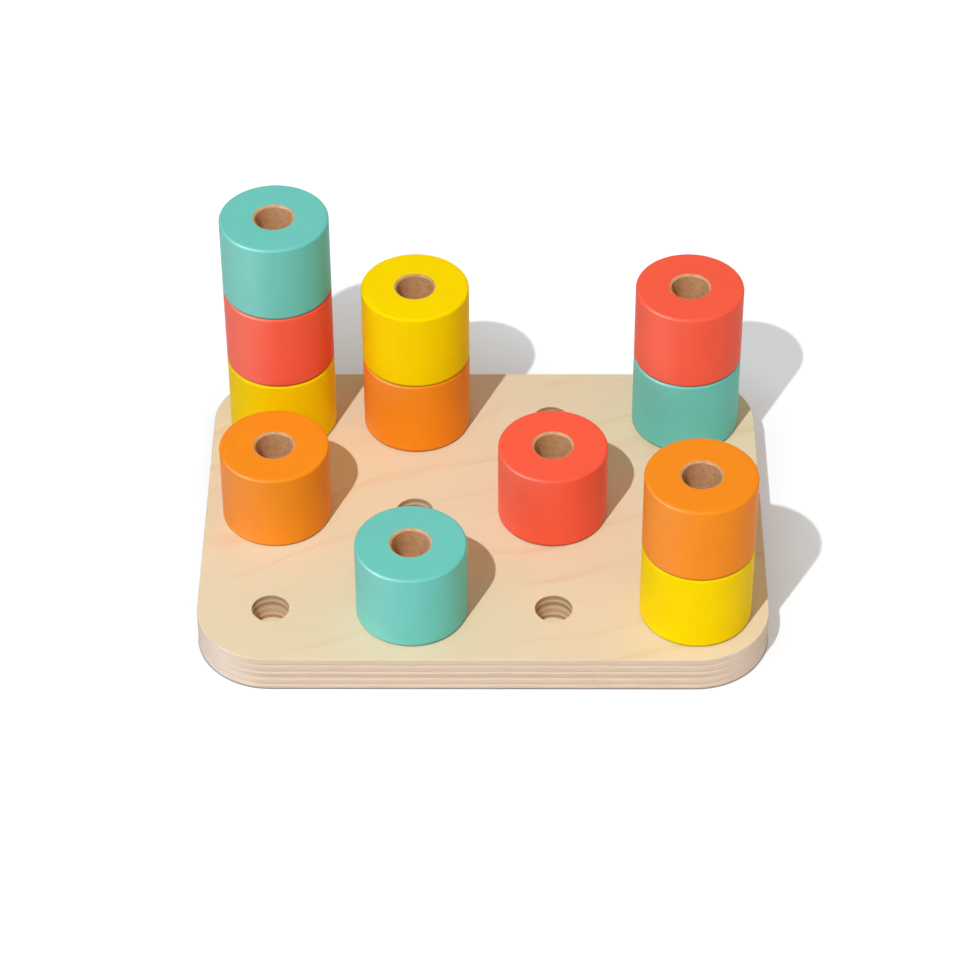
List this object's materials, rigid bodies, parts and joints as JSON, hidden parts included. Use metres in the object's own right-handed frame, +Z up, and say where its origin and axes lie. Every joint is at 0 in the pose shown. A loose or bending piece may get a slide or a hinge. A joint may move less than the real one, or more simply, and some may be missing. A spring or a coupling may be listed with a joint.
{
  "type": "stacking peg set",
  "caption": "Plywood board with a grid of blind holes and painted cylindrical wooden pegs, each with a dowel under it and a socket on top, that plug into the board and into one another.",
  "frame": {"origin": "middle of the board's underside, on the surface that the board rests on", "axes": "+X along the board's long side, +Y along its short side to the back, +Z up, the way a peg lifts out"},
  "size_m": [0.2154, 0.1656, 0.1158],
  "materials": {
    "plywood": "sanded plywood, clear matt coat, plies showing on the edge",
    "raw_wood": "bare sanded hardwood",
    "teal_paint": "satin paint on wood",
    "red_paint": "satin paint on wood",
    "yellow_paint": "satin paint on wood",
    "orange_paint": "satin paint on wood"
  },
  "bodies": {
    "board": {"peg_board": "plywood"},
    "yellow_peg_1": {"yellow_block_1": "yellow_paint", "yellow_dowel_1": "raw_wood"},
    "red_peg_1": {"red_block_1": "red_paint", "red_dowel_1": "raw_wood"},
    "teal_peg_1": {"teal_block_1": "teal_paint", "teal_dowel_1": "raw_wood"},
    "orange_peg_1": {"orange_block_1": "orange_paint", "orange_dowel_1": "raw_wood"},
    "yellow_peg_2": {"yellow_block_2": "yellow_paint", "yellow_dowel_2": "raw_wood"},
    "teal_peg_2": {"teal_block_2": "teal_paint", "teal_dowel_2": "raw_wood"},
    "red_peg_2": {"red_block_2": "red_paint", "red_dowel_2": "raw_wood"},
    "orange_peg_2": {"orange_block_2": "orange_paint", "orange_dowel_2": "raw_wood"},
    "red_peg_3": {"red_block_3": "red_paint", "red_dowel_3": "raw_wood"},
    "teal_peg_3": {"teal_block_3": "teal_paint", "teal_dowel_3": "raw_wood"},
    "yellow_peg_3": {"yellow_block_3": "yellow_paint", "yellow_dowel_3": "raw_wood"},
    "orange_peg_3": {"orange_block_3": "orange_paint", "orange_dowel_3": "raw_wood"}
  },
  "joints": [
    {"name": "yellow_peg_1_lift", "type": "slide", "parent": "board", "child": "yellow_peg_1", "axis": [0, 0, 1], "range_m": [0, 0.04]},
    {"name": "red_peg_1_lift", "type": "slide", "parent": "yellow_peg_1", "child": "red_peg_1", "axis": [0, 0, 1], "range_m": [0, 0.04]},
    {"name": "teal_peg_1_lift", "type": "slide", "parent": "red_peg_1", "child": "teal_peg_1", "axis": [0, 0, 1], "range_m": [0, 0.04]},
    {"name": "orange_peg_1_lift", "type": "slide", "parent": "board", "child": "orange_peg_1", "axis": [0, 0, 1], "range_m": [0, 0.04]},
    {"name": "yellow_peg_2_lift", "type": "slide", "parent": "orange_peg_1", "child": "yellow_peg_2", "axis": [0, 0, 1], "range_m": [0, 0.04]},
    {"name": "teal_peg_2_lift", "type": "slide", "parent": "board", "child": "teal_peg_2", "axis": [0, 0, 1], "range_m": [0, 0.04]},
    {"name": "red_peg_2_lift", "type": "slide", "parent": "teal_peg_2", "child": "red_peg_2", "axis": [0, 0, 1], "range_m": [0, 0.04]},
    {"name": "orange_peg_2_lift", "type": "slide", "parent": "board", "child": "orange_peg_2", "axis": [0, 0, 1], "range_m": [0, 0.04]},
    {"name": "red_peg_3_lift", "type": "slide", "parent": "board", "child": "red_peg_3", "axis": [0, 0, 1], "range_m": [0, 0.04]},
    {"name": "teal_peg_3_lift", "type": "slide", "parent": "board", "child": "teal_peg_3", "axis": [0, 0, 1], "range_m": [0, 0.04]},
    {"name": "yellow_peg_3_lift", "type": "slide", "parent": "board", "child": "yellow_peg_3", "axis": [0, 0, 1], "range_m": [0, 0.04]},
    {"name": "orange_peg_3_lift", "type": "slide", "parent": "yellow_peg_3", "child": "orange_peg_3", "axis": [0, 0, 1], "range_m": [0, 0.04]}
  ]
}
